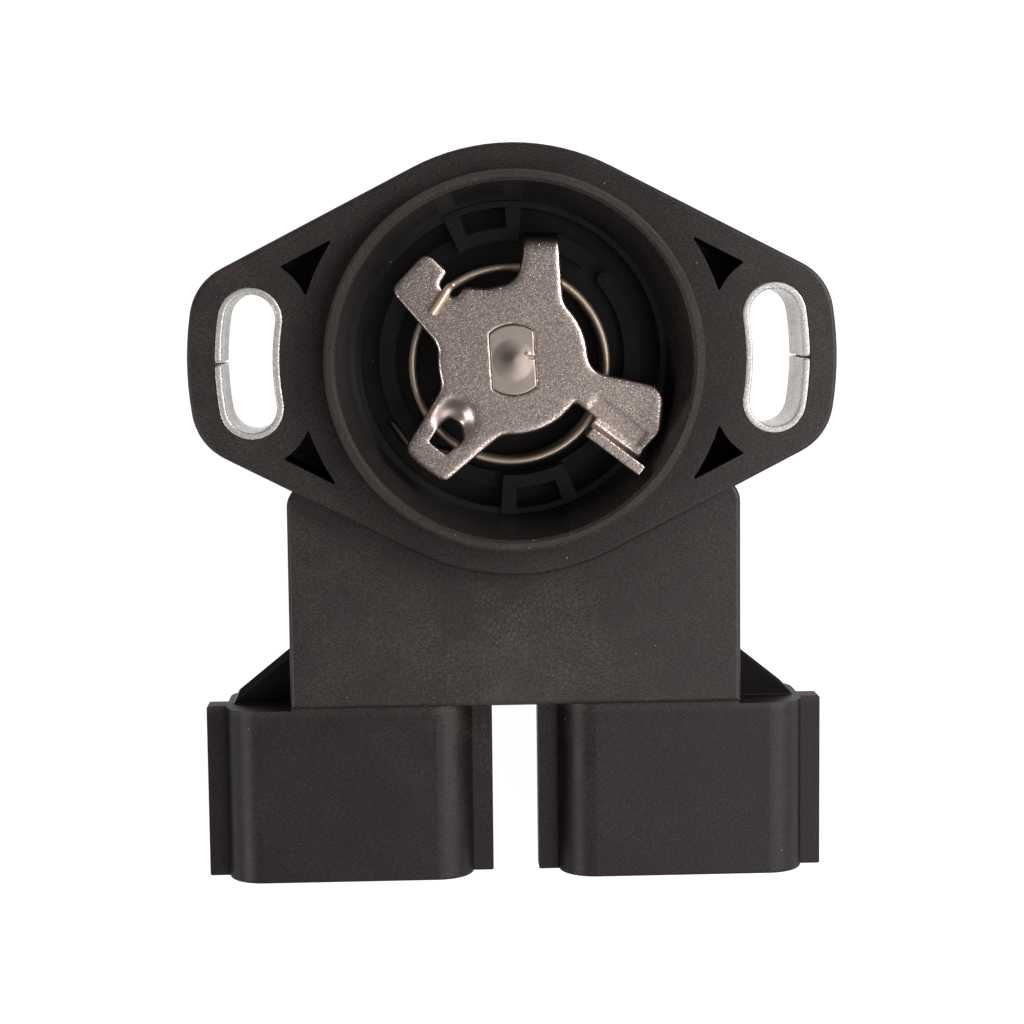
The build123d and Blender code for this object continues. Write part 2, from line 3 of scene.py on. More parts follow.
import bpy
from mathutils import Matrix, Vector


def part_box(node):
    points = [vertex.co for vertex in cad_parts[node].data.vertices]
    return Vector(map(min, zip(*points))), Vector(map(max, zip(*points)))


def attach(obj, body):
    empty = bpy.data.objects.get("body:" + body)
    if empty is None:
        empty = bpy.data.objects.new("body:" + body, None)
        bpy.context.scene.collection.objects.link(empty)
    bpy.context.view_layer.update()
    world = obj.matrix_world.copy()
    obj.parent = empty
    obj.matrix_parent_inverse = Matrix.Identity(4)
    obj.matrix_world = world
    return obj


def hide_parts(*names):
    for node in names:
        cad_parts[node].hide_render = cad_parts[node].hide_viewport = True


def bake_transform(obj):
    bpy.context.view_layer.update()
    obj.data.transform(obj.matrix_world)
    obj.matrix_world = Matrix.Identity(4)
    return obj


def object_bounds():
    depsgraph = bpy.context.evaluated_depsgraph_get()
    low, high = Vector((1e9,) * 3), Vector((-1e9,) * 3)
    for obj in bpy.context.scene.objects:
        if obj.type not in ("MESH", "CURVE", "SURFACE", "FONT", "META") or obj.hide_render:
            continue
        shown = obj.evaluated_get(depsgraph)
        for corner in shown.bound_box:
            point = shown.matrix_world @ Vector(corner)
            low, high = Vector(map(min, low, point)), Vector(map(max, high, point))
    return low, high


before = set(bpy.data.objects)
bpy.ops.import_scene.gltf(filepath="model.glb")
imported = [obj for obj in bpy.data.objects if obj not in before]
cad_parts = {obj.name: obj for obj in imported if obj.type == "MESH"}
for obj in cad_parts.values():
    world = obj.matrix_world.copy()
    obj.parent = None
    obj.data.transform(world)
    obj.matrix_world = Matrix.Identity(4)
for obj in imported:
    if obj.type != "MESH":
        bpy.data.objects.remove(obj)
CAD_BOX = [list(corner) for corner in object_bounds()]

from math import atan, cos, pi, radians, sin, sqrt, tan

import bpy
from bpy.props import FloatProperty, FloatVectorProperty, PointerProperty
from bpy.types import Operator, Panel, PropertyGroup
from mathutils import Matrix, Vector

bl_info = {
    "name": "Throttle Position Sensor",
    "version": (1, 0, 0),
    "blender": (4, 5, 0),
    "location": "View3D > Sidebar > Sensor",
    "description": "Finishes the sensor's moulded, pressed and wound pieces and sets up its studio",
    "category": "Object",
}

MM = 0.001
BLACK = (0.0, 0.0, 0.0)


# Properties

def colour_property(name, description, default):
    """Return a colour that the sidebar can edit."""
    return FloatVectorProperty(name=name, description=description, default=default,
                               subtype="COLOR", size=3, min=0.0, max=1.0)


def length_property(name, description, default):
    """Return a length in metres from a size in millimetres."""
    return FloatProperty(name=name, description=description, default=default * MM,
                         min=0.0, precision=5, subtype="DISTANCE", unit="LENGTH")


def roughness_property(description, default):
    """Return a roughness from 0 to 1."""
    return FloatProperty(name="Roughness", description=description, default=default,
                         min=0.0, max=1.0, subtype="FACTOR")


def power_property(name, description, default):
    """Return the power of a light in watts."""
    return FloatProperty(name=name, description=description, default=default,
                         min=0.0, subtype="POWER", unit="POWER")


class SENSOR_PG_case(PropertyGroup):
    """Moulded case, its back and its sockets."""

    colour: colour_property("Colour", "Darker tone of the moulding", (0.0138, 0.0107, 0.0104))
    pale: colour_property("Pale tone", "Lighter tone of the speckle", (0.0396, 0.0308, 0.0300))
    fibre: colour_property("Fibre", "Colour of the glass fibres at the surface", (0.160, 0.136, 0.120))
    smooth: colour_property("Smooth", "Colour where the mould was polished", (0.0290, 0.0255, 0.0248))
    dust: colour_property("Dust", "Colour of the fine dust on the moulding", (0.30, 0.27, 0.24))
    grain: length_property("Grain", "Width of the moulded grain", 0.21)
    depth: length_property("Grain depth", "Height of the moulded grain", 0.030)
    roughness: roughness_property("Roughness of the moulded faces", 0.42)


class SENSOR_PG_lever(PropertyGroup):
    """Pressed lever and the shaft's end."""

    colour: colour_property("Colour", "Colour of the bare steel", (0.60, 0.488, 0.447))
    grain: length_property("Grain", "Width of the tumbled grain", 0.25)
    depth: length_property("Grain depth", "Height of the tumbled grain", 0.007)
    softness: length_property("Softness", "Fineness of the mesh that the pressed edges are rounded on", 0.13)
    roughness: roughness_property("Roughness of the steel between its grains", 0.30)


class SENSOR_PG_spring(PropertyGroup):
    """Return spring in the hub well."""

    colour: colour_property("Colour", "Colour of the drawn wire", (1.0, 0.78, 0.60))
    wire_radius: length_property("Wire radius", "Half the wire's thickness", 0.46)
    coil_radius: length_property("Coil radius", "Radius at the middle of the wire", 11.315)
    coil_drop: length_property("Coil drop", "How far the coil hangs below the shaft", 0.75)
    coil_left: length_property("Coil shift", "How far the coil lies to the left of the shaft", 0.2)
    pitch: length_property("Pitch", "Rise of one turn", 1.5)
    turns: FloatProperty(name="Turns", description="Turns from the tail to the hook", default=3.6, min=1.0)


class SENSOR_PG_stage(PropertyGroup):
    """Floor, light and camera."""

    floor: colour_property("Floor", "Colour of the pale floor", (0.25, 0.25, 0.25))
    glow: FloatProperty(name="Floor glow", description="Strength of the light table under the part",
                        default=0.98, min=0.0)
    right: power_property("Right light", "Power of the soft box on the right", 2.9)
    left: power_property("Left light", "Power of the soft box on the left", 1.15)
    top: power_property("Top light", "Power of the soft box overhead", 2.0)
    sky: FloatProperty(name="Room light", description="Strength of the even light of the room",
                       default=0.15, min=0.0)
    lens: FloatProperty(name="Lens", description="Focal length on a 36 mm wide sensor",
                        default=80.825, min=1.0, subtype="DISTANCE_CAMERA")


class SENSOR_PG_all(PropertyGroup):
    """Everything that can be changed on the sensor."""

    case: PointerProperty(type=SENSOR_PG_case)
    lever: PointerProperty(type=SENSOR_PG_lever)
    spring: PointerProperty(type=SENSOR_PG_spring)
    stage: PointerProperty(type=SENSOR_PG_stage)


# Material building

def add_node(tree, kind, settings=None, **inputs):
    """Add a shader node, setting or linking the inputs that are named."""
    made = tree.nodes.new(kind)
    for name, value in (settings or {}).items():
        setattr(made, name, value)
    for name, value in inputs.items():
        feed(tree, made.inputs[name.replace("_", " ")], value)
    return made


def feed(tree, socket, value):
    """Link a socket to another one, or set its value."""
    if isinstance(value, bpy.types.NodeSocket):
        tree.links.new(value, socket)
    else:
        socket.default_value = value


def new_finish(name, **sockets):
    """Return a material with one shader, its node tree, and the shader."""
    material = bpy.data.materials.new(name)
    material.use_nodes = True
    tree = material.node_tree
    tree.nodes.clear()
    shader = add_node(tree, "ShaderNodeBsdfPrincipled", **sockets)
    output = add_node(tree, "ShaderNodeOutputMaterial")
    tree.links.new(shader.outputs["BSDF"], output.inputs["Surface"])
    return material, tree, shader


def place_of(tree):
    """Return the place on the part, in metres."""
    return add_node(tree, "ShaderNodeTexCoord").outputs["Object"]


def axes_of(tree, vector):
    """Return the X, Y and Z of a vector."""
    return add_node(tree, "ShaderNodeSeparateXYZ", Vector=vector).outputs


def mottle(tree, place, width, detail=2.0, roughness=0.5):
    """Return noise whose blobs have that width."""
    made = add_node(tree, "ShaderNodeTexNoise", Vector=place, Scale=1.0 / width, Detail=detail,
                    Roughness=roughness)
    return made.outputs["Fac"]


def ramp(tree, value, start, end, low=0.0, high=1.0):
    """Return a value rescaled from one range to another, and held inside it."""
    made = add_node(tree, "ShaderNodeMapRange", Value=value, From_Min=start, From_Max=end,
                    To_Min=low, To_Max=high)
    return made.outputs["Result"]


def changed(tree, value, operation):
    """Return a value after an operation on it alone."""
    made = add_node(tree, "ShaderNodeMath", {"operation": operation})
    feed(tree, made.inputs[0], value)
    return made.outputs["Value"]


def sum_of(tree, first, second, operation="ADD"):
    """Return two values joined by one operation."""
    made = add_node(tree, "ShaderNodeMath", {"operation": operation})
    feed(tree, made.inputs[0], first)
    feed(tree, made.inputs[1], second)
    return made.outputs["Value"]


def product_of(tree, first, second):
    """Return two values multiplied."""
    return sum_of(tree, first, second, "MULTIPLY")


def larger_of(tree, first, second):
    """Return the larger of two values."""
    return sum_of(tree, first, second, "MAXIMUM")


def faded(tree, value, share, rest):
    """Return a value that drops to a rest of itself where a share rises to 1."""
    return product_of(tree, value, ramp(tree, share, 0.0, 1.0, 1.0, rest))


def vector_sum(tree, operation, first, second=None):
    """Return the results of an operation on one or two vectors."""
    made = add_node(tree, "ShaderNodeVectorMath", {"operation": operation})
    feed(tree, made.inputs[0], first)
    if second is not None:
        feed(tree, made.inputs[1], second)
    return made.outputs


def distance_from(tree, place, point):
    """Return how far a place is from a point."""
    return vector_sum(tree, "DISTANCE", place, point)["Value"]


def distance_from_shaft(tree, place):
    """Return how far a place is from the shaft's axis."""
    flat = vector_sum(tree, "MULTIPLY", place, (1.0, 1.0, 0.0))["Vector"]
    return vector_sum(tree, "LENGTH", flat)["Value"]


def blend_colours(tree, share, first, second):
    """Return a colour between two others."""
    made = add_node(tree, "ShaderNodeMix", {"data_type": "RGBA"})
    colours = [socket for socket in made.inputs if socket.type == "RGBA"]
    feed(tree, made.inputs["Factor"], share)
    for socket, value in zip(colours, (first, second)):
        feed(tree, socket, value if isinstance(value, bpy.types.NodeSocket) else (*value, 1.0))
    return [socket for socket in made.outputs if socket.type == "RGBA"][0]


def blend_values(tree, share, first, second):
    """Return a value between two others."""
    made = add_node(tree, "ShaderNodeMix", Factor=share)
    values = [socket for socket in made.inputs if socket.type == "VALUE" and socket.name in "AB"]
    for socket, value in zip(values, (first, second)):
        feed(tree, socket, value)
    return [socket for socket in made.outputs if socket.type == "VALUE"][0]


def raise_grain(tree, shader, height, depth, strength=1.0):
    """Give the surface the relief of a height between 0 and 1."""
    bump = add_node(tree, "ShaderNodeBump", Strength=strength, Distance=depth, Height=height)
    tree.links.new(bump.outputs["Normal"], shader.inputs["Normal"])


# Marks on a surface

SPECK_CORE = 0.5
STROKE_EDGE = 0.1
FAN_SPREAD = 75.0
FAN_CORE = 0.45


def flecks(tree, place, width):
    """Return a value between 0 and 1 that jumps from one small fleck to the next."""
    cells = add_node(tree, "ShaderNodeTexVoronoi", Vector=place, Scale=1.0 / width)
    return add_node(tree, "ShaderNodeSeparateColor", Color=cells.outputs["Color"]).outputs["Red"]


def sparse_specks(tree, place, spacing, radius, share):
    """Return 1 on a few small specks, which sit in some cells of a loose grid."""
    cells = add_node(tree, "ShaderNodeTexVoronoi", Vector=place, Scale=1.0 / spacing)
    near = ramp(tree, cells.outputs["Distance"], radius / spacing, SPECK_CORE * radius / spacing)
    chosen = add_node(tree, "ShaderNodeSeparateColor", Color=cells.outputs["Color"])
    picked = sum_of(tree, chosen.outputs["Red"], share, "LESS_THAN")
    return product_of(tree, near, picked)


def strokes(tree, place, turn, length, width, least):
    """Return 1 on short strokes that lie in one direction."""
    laid = add_node(tree, "ShaderNodeMapping", Vector=place, Rotation=(0.0, 0.0, turn),
                    Scale=(1.0 / length, 1.0 / width, 1.0 / width))
    made = add_node(tree, "ShaderNodeTexNoise", Vector=laid.outputs["Vector"], Scale=1.0, Detail=0.0)
    return ramp(tree, made.outputs["Fac"], least, least + STROKE_EDGE)


def fan_of_strokes(tree, place, gate, reach, length, least):
    """Return 1 on short strokes that fan out from the point where the plastic flowed in."""
    offset = vector_sum(tree, "SUBTRACT", place, gate)["Vector"]
    axes = axes_of(tree, offset)
    spin = sum_of(tree, axes["Y"], axes["X"], "ARCTAN2")
    away = vector_sum(tree, "LENGTH", offset)["Value"]
    fan = add_node(tree, "ShaderNodeCombineXYZ", X=product_of(tree, spin, FAN_SPREAD),
                   Y=product_of(tree, away, 1.0 / length))
    made = add_node(tree, "ShaderNodeTexNoise", Vector=fan.outputs["Vector"], Scale=1.0, Detail=0.0)
    near = ramp(tree, away, reach, FAN_CORE * reach)
    return product_of(tree, ramp(tree, made.outputs["Fac"], least, least + STROKE_EDGE), near)


# Moulded plastic

class Moulding:
    """Fibre-filled black plastic in the making, with its grain, its fibres, and its side walls duller and
    painted darker as shade.
    """

    IOR = 1.5
    TINT = (1.0, 0.93, 0.92, 1.0)

    # Grain: the widths of its finer and broader parts in grains, and how they show
    FINE_WIDTH = 0.45
    CLOUD_WIDTH = 30
    SPECKLE_RANGE = (0.80, 1.22)
    SPECKLE_SHARE = 0.65
    CLOUD_RANGE = (0.35, 0.7)
    CLOUD_SHARE = (0.07, 0.21)
    FINE_HEIGHT = 0.35
    ROUGH_RANGE = (0.7, 1.3)
    ROUGH_SPAN = (-0.06, 0.08)

    # Short fibres near the surface, turned in degrees, shown more where the clouds are pale
    FIBRE_TURNS = (25, 85, 150)
    FIBRE_LENGTH = 0.42 * MM
    FIBRE_WIDTH = 0.10 * MM
    FIBRE_LEAST = 0.60
    FIBRE_RANGE = (0.38, 0.70)
    FIBRE_SHARE = (0.12, 0.26)

    # Walls along the mould's draw, found by the tilt of their faces: painted darker as shade, and duller
    WALL_TILT = (0.85, 0.45)
    WALL_PAINTED_SHADE = 0.5
    FACE_GLOSS = 0.42
    WALL_GLOSS = 0.06

    # Dust: its spacing and radius in grains, and the share of places that have a speck
    DUST = (5.5, 0.48, 0.055)

    def __init__(self, tree, case):
        self.tree = tree
        self.case = case
        self.place = place_of(tree)
        self.grain = mottle(tree, self.place, case.grain, detail=3.0, roughness=0.6)
        self.fine = mottle(tree, self.place, self.FINE_WIDTH * case.grain, detail=1.0)
        self.clouds = mottle(tree, self.place, self.CLOUD_WIDTH * case.grain, detail=4.0, roughness=0.6)
        self.colour = self.speckled_colour()
        self.fibres = self.loose_fibres()
        self.height = sum_of(tree, self.grain, product_of(tree, self.fine, self.FINE_HEIGHT))
        self.rough = ramp(tree, sum_of(tree, self.grain, self.clouds), *self.ROUGH_RANGE,
                          *[case.roughness + step for step in self.ROUGH_SPAN])
        # Painted shade on the walls along the draw
        self.painted_shade = self.wall_share()
        self.gloss = ramp(tree, self.painted_shade, 0.0, 1.0, self.FACE_GLOSS, self.WALL_GLOSS)
        self.specks = self.specks_of(*self.DUST)

    def speckled_colour(self):
        """Return the plastic's colour, from its fine speckle and its broad clouds."""
        tree = self.tree
        speckle = ramp(tree, sum_of(tree, self.grain, self.fine), *self.SPECKLE_RANGE)
        cloudy = ramp(tree, self.clouds, *self.CLOUD_RANGE, *self.CLOUD_SHARE)
        tone = sum_of(tree, product_of(tree, speckle, self.SPECKLE_SHARE), cloudy)
        return blend_colours(tree, tone, self.case.colour, self.case.pale)

    def loose_fibres(self):
        """Return how far the short fibres near the surface show."""
        tree = self.tree
        fibres = 0.0
        for turn in self.FIBRE_TURNS:
            laid = strokes(tree, self.place, radians(turn), self.FIBRE_LENGTH, self.FIBRE_WIDTH,
                           self.FIBRE_LEAST)
            fibres = larger_of(tree, fibres, laid)
        return product_of(tree, fibres, ramp(tree, self.clouds, *self.FIBRE_RANGE, *self.FIBRE_SHARE))

    def wall_share(self):
        """Return 1 on walls along the mould's draw and 0 on faces across it, for their painted shade and
        their gloss.
        """
        facing = axes_of(self.tree, add_node(self.tree, "ShaderNodeNewGeometry").outputs["Normal"])
        return ramp(self.tree, changed(self.tree, facing["Z"], "ABSOLUTE"), *self.WALL_TILT)

    def specks_of(self, spacing, radius, share):
        """Return 1 on specks whose spacing and radius are given in grains."""
        grain = self.case.grain
        return sparse_specks(self.tree, self.place, spacing * grain, radius * grain, share)

    def settle(self, shader):
        """Give the finished plastic to the shader."""
        tree = self.tree
        colour = blend_colours(tree, self.fibres, self.colour, self.case.fibre)
        # Painted shade: the walls, and on the case the flange round the hub, are darkened towards black
        colour = blend_colours(tree, product_of(tree, self.painted_shade, self.WALL_PAINTED_SHADE), colour, BLACK)
        feed(tree, shader.inputs["Base Color"], blend_colours(tree, self.specks, colour, self.case.dust))
        feed(tree, shader.inputs["Specular IOR Level"], self.gloss)
        feed(tree, shader.inputs["Roughness"], self.rough)
        raise_grain(tree, shader, self.height, self.case.depth)


class CaseMoulding(Moulding):
    """The case's plastic, with what the mould and use have left on its single places, and painted shade in
    its well, on its gussets and round its hub.
    """

    # Fibres that fan out from the gate on the block
    GATE = (0.0, -38.5 * MM, -2.5 * MM)
    GATE_REACH = 19 * MM
    GATE_STROKE = 0.55 * MM
    GATE_LEAST = 0.52
    GATE_RANGE = (0.35, 0.65)
    GATE_SHARE = (0.14, 0.50)

    # Sockets, darker and plainer than the block above them
    SOCKET_TOP = (-40.6 * MM, -41.4 * MM)
    SOCKET_TONE = 0.65
    SOCKET_FIBRES = 0.5
    SOCKET_HEIGHT = 0.85
    SOCKET_GLOSS = 0.8

    # Polished well of the hub, and the polished gussets beside the block, both painted darker with depth as
    # shade
    WELL_EDGE = (20.45 * MM, 20.25 * MM)
    WELL_DEPTH = (-1.0 * MM, -7.0 * MM)
    WELL_PAINTED_SHADE = 0.42
    WELL_GLOSS = (0.55, 0.32)
    GUSSET_SIDE = (26.25 * MM, 26.35 * MM)
    GUSSET_FOOT = (-40.50 * MM, -40.35 * MM)
    GUSSET_FRONT = (-9.2 * MM, -9.4 * MM)
    POLISH = 0.2
    POLISHED_HEIGHT = 0.25

    # Ring of the spigot, scuffed and chipped where it fits into its seat
    RING_LEVEL = (2.4 * MM, 2.75 * MM)
    SCUFF_RANGE = (0.50, 0.74)
    SCUFF_SHARE = 0.5
    CHIPS = (2.2, 0.42, 0.10)

    # Flange round the hub, painted darker as shade and duller than its ends
    HUB_SHADE_REACH = (34 * MM, 23 * MM)
    HUB_PAINTED_SHADE = 0.40
    HUB_SHADE_ON_RING = 0.3
    HUB_GLOSS = 0.3

    def __init__(self, tree, case):
        super().__init__(tree, case)
        axes = axes_of(tree, self.place)
        self.radius = distance_from_shaft(tree, self.place)
        # Painted shade in the well and on the gussets, growing with depth
        self.depth = ramp(tree, axes["Z"], *self.WELL_DEPTH, 0.0, self.WELL_PAINTED_SHADE)
        self.ring = ramp(tree, axes["Z"], *self.RING_LEVEL)
        self.sockets = ramp(tree, axes["Y"], *self.SOCKET_TOP)
        beside = product_of(tree, ramp(tree, changed(tree, axes["X"], "ABSOLUTE"), *self.GUSSET_SIDE),
                            ramp(tree, axes["Y"], *self.GUSSET_FOOT))
        self.gussets = product_of(tree, beside, ramp(tree, axes["Z"], *self.GUSSET_FRONT))
        self.polished = larger_of(tree, ramp(tree, self.radius, *self.WELL_EDGE), self.gussets)
        self.mark_gate()
        self.calm_sockets()
        self.polish_and_shade_well()
        self.scuff_ring()
        self.shade_hub()

    def mark_gate(self):
        """Show the fibres that fan out from the gate."""
        tree = self.tree
        fan = fan_of_strokes(tree, self.place, self.GATE, self.GATE_REACH, self.GATE_STROKE, self.GATE_LEAST)
        shown = ramp(tree, self.clouds, *self.GATE_RANGE, *self.GATE_SHARE)
        self.fibres = larger_of(tree, self.fibres, product_of(tree, fan, shown))

    def calm_sockets(self):
        """Make the sockets darker, plainer and smoother than the block."""
        tree = self.tree
        plain = product_of(tree, self.sockets, self.SOCKET_TONE)
        self.colour = blend_colours(tree, plain, self.colour, self.case.colour)
        self.fibres = faded(tree, self.fibres, self.sockets, self.SOCKET_FIBRES)
        self.height = faded(tree, self.height, self.sockets, self.SOCKET_HEIGHT)
        self.gloss = faded(tree, self.gloss, self.sockets, self.SOCKET_GLOSS)

    def polish_and_shade_well(self):
        """Polish the well, painted darker towards its floor as shade, and the gussets, which take the same
        painted shade and don't shine.
        """
        tree = self.tree
        # Painted shade: the polished colour goes towards black with depth
        smooth = blend_colours(tree, self.depth, self.case.smooth, BLACK)
        self.colour = blend_colours(tree, self.polished, self.colour, smooth)
        self.fibres = faded(tree, self.fibres, self.polished, 0.0)
        self.height = faded(tree, self.height, self.polished, self.POLISHED_HEIGHT)
        self.rough = sum_of(tree, self.rough, product_of(tree, self.polished, self.POLISH), "SUBTRACT")
        shine = ramp(tree, self.depth, 0.0, self.WELL_PAINTED_SHADE, *self.WELL_GLOSS)
        self.gloss = blend_values(tree, self.polished, self.gloss, faded(tree, shine, self.gussets, 0.0))

    def scuff_ring(self):
        """Scuff and chip the spigot's ring."""
        tree = self.tree
        scuffs = ramp(tree, self.fine, *self.SCUFF_RANGE, 0.0, self.SCUFF_SHARE)
        self.fibres = larger_of(tree, self.fibres, product_of(tree, self.ring, scuffs))
        chips = product_of(tree, self.specks_of(*self.CHIPS), self.ring)
        self.specks = larger_of(tree, self.specks, chips)

    def shade_hub(self):
        """Paint shade on the flange round the hub, and dull it."""
        tree = self.tree
        # Painted shade: darker nearer the spigot, less on its ring, none in the polished places
        near = ramp(tree, self.radius, *self.HUB_SHADE_REACH, 0.0, self.HUB_PAINTED_SHADE)
        near = faded(tree, near, self.ring, self.HUB_SHADE_ON_RING)
        self.painted_shade = faded(tree, larger_of(tree, self.painted_shade, near), self.polished, 0.0)
        self.gloss = faded(tree, self.gloss, faded(tree, near, self.polished, 0.0), self.HUB_GLOSS)


def moulded_finish(name, case, moulding):
    """Return the finish of a kind of moulding."""
    material, tree, shader = new_finish(name, IOR=moulding.IOR, Specular_Tint=moulding.TINT)
    moulding(tree, case).settle(shader)
    return material


# Metal, and plain finishes

# The range that most of a noise's values fill, and the narrower one in its middle
NOISE_SPAN = (0.3, 0.7)
NOISE_CORE = (0.35, 0.65)
NOISE_MEAN = 0.5

# How far a metal's roughness goes above and below its mean
METAL_ROUGHER = 0.08
METAL_SMOOTHER = 0.05

# Flecks and patches of bare metal: their widths in grains, and how they show in its tone
FLECK_WIDTH = 0.55
FLECK_SHARE = 0.75
PATCH_WIDTH = 18
PATCH_SHARE = (-0.10, 0.10)
GRAIN_RANGE = (0.15, 0.80)
GRAIN_SHARE = (0.05, 0.75)
SPARKLE_RANGE = (0.72, 0.80)
SPARKLE_SHARE = 0.8
SHINE_RANGE = (0.7, 1.3)
SPOT_CORE = 0.55

# Turned steel: the widths of its wobble and its patches in rings, and its spot of painted shade
WOBBLE_WIDTH = 6
WOBBLE_REACH = 0.35
TURNED_PATCH = 8
TURNED_DULL = 0.85
TURNED_RELIEF = 0.6
SHADE_SPOT_CORE = 0.2
SHADE_SPOT_DARKNESS = 0.55

# How far a plain finish's roughness goes to each side of its mean
PLAIN_SPAN = 0.05


def metal_finish(name, colour, grain, depth, roughness, contrast=0.25, shade_rule=None, calm_spot=None,
                 metallic=1.0):
    """Return a bare metal with sparkling grain, darkened by a rule of painted shade and calm on one spot."""
    material, tree, shader = new_finish(name, Metallic=metallic)
    place = place_of(tree)
    grains = blend_values(tree, FLECK_SHARE, mottle(tree, place, grain, detail=1.5, roughness=0.6),
                          flecks(tree, place, FLECK_WIDTH * grain))
    patches = mottle(tree, place, PATCH_WIDTH * grain, detail=3.0, roughness=0.6)
    if calm_spot:
        middle, reach = calm_spot
        clear = ramp(tree, distance_from(tree, place, middle), SPOT_CORE * reach, reach)
        grains = blend_values(tree, clear, NOISE_MEAN, grains)
    share = sum_of(tree, ramp(tree, grains, *GRAIN_RANGE, *GRAIN_SHARE),
                   ramp(tree, patches, *NOISE_SPAN, *PATCH_SHARE))
    share = sum_of(tree, share, ramp(tree, grains, *SPARKLE_RANGE, 0.0, SPARKLE_SHARE))
    dull = [(1.0 - contrast) * part for part in colour]
    bright = [min(1.0, (1.0 + contrast) * part) for part in colour]
    tone = blend_colours(tree, share, dull, bright)
    # Painted shade, where a rule gives it
    if shade_rule:
        tone = blend_colours(tree, shade_rule(tree, place), BLACK, tone)
    feed(tree, shader.inputs["Base Color"], tone)
    feed(tree, shader.inputs["Roughness"],
         ramp(tree, sum_of(tree, grains, patches), *SHINE_RANGE,
              roughness + METAL_ROUGHER, roughness - METAL_SMOOTHER))
    raise_grain(tree, shader, grains, depth)
    return material


def turned_finish(name, colour, ring, depth, roughness, shade_spot):
    """Return steel turned about the shaft's axis, with rings a set width apart and a spot of painted shade.
    """
    material, tree, shader = new_finish(name, Metallic=1.0)
    place = place_of(tree)
    wobble = product_of(tree, mottle(tree, place, WOBBLE_WIDTH * ring), WOBBLE_REACH * ring)
    radius = sum_of(tree, distance_from_shaft(tree, place), wobble)
    rings = changed(tree, product_of(tree, radius, 2 * pi / ring), "SINE")
    height = ramp(tree, rings, -1.0, 1.0)
    patches = mottle(tree, place, TURNED_PATCH * ring, detail=3.0)
    dull = [TURNED_DULL * part for part in colour]
    tone = blend_colours(tree, ramp(tree, patches, *NOISE_CORE), dull, colour)
    # Painted shade: a dark spot on the crown
    middle, reach = shade_spot
    away = sum_of(tree, distance_from(tree, place, middle), wobble)
    shaded = ramp(tree, away, reach, SHADE_SPOT_CORE * reach, 0.0, SHADE_SPOT_DARKNESS)
    feed(tree, shader.inputs["Base Color"], blend_colours(tree, shaded, tone, BLACK))
    feed(tree, shader.inputs["Roughness"],
         ramp(tree, patches, *NOISE_SPAN, roughness + METAL_ROUGHER, roughness - METAL_SMOOTHER))
    raise_grain(tree, shader, height, depth, TURNED_RELIEF)
    return material


def smooth_finish(name, colour, pale, grain, depth, roughness, **sockets):
    """Return a soft-toned finish for rubber, resin, laminate or smooth plastic."""
    material, tree, shader = new_finish(name, **sockets)
    waves = mottle(tree, place_of(tree), grain, detail=3.0, roughness=0.55)
    feed(tree, shader.inputs["Base Color"], blend_colours(tree, ramp(tree, waves, *NOISE_CORE), colour, pale))
    feed(tree, shader.inputs["Roughness"],
         ramp(tree, waves, *NOISE_SPAN, roughness - PLAIN_SPAN, roughness + PLAIN_SPAN))
    raise_grain(tree, shader, waves, depth)
    return material


# Pieces

# How far one round of smoothing moves a point towards its neighbours' middle
SMOOTHING = 0.5


def wear(node, material):
    """Give a solid of the frame its finish."""
    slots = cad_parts[node].data.materials
    slots.clear()
    slots.append(material)


def rounded_path(points, radius, steps=8):
    """Return a line through its corners with each inner corner turned to an arc."""
    corners = [Vector(point) for point in points]
    path = [corners[0]]
    for before, corner, after in zip(corners, corners[1:], corners[2:]):
        inward = (before - corner).normalized()
        onward = (after - corner).normalized()
        turn = pi - inward.angle(onward)
        setback = radius * tan(turn / 2)
        start = corner + inward * setback
        centre = corner + (inward + onward).normalized() * (radius / cos(turn / 2))
        axis = inward.cross(onward).normalized()
        for step in range(steps + 1):
            spin = Matrix.Rotation(-turn * step / steps, 3, axis)
            path.append(centre + spin @ (start - centre))
    return path + [corners[-1]]


def tube_mesh(name, path, radius, resolution=6):
    """Return a mesh of round wire along a line."""
    curve = bpy.data.curves.new(name, "CURVE")
    curve.dimensions = "3D"
    curve.bevel_depth = radius
    curve.bevel_resolution = resolution
    curve.use_fill_caps = True
    spline = curve.splines.new("POLY")
    spline.points.add(len(path) - 1)
    for point, place in zip(spline.points, path):
        point.co = (*place, 1.0)
    holder = bpy.data.objects.new(name, curve)
    bpy.context.scene.collection.objects.link(holder)
    bpy.context.view_layer.update()
    depsgraph = bpy.context.evaluated_depsgraph_get()
    mesh = bpy.data.meshes.new_from_object(holder.evaluated_get(depsgraph))
    bpy.data.objects.remove(holder)
    bpy.data.curves.remove(curve)
    mesh.name = name
    for face in mesh.polygons:
        face.use_smooth = True
    return mesh


def new_piece(name, mesh, material):
    """Link a mesh as a piece of the sensor, with its finish."""
    mesh.materials.clear()
    mesh.materials.append(material)
    piece = bpy.data.objects.new(name, mesh)
    bpy.context.scene.collection.objects.link(piece)
    return piece


def settled_mesh(piece):
    """Apply a piece's modifiers to its mesh."""
    bpy.context.view_layer.update()
    depsgraph = bpy.context.evaluated_depsgraph_get()
    settled = bpy.data.meshes.new_from_object(piece.evaluated_get(depsgraph))
    piece.modifiers.clear()
    worn, piece.data = piece.data, settled
    bpy.data.meshes.remove(worn)
    settled.name = piece.name


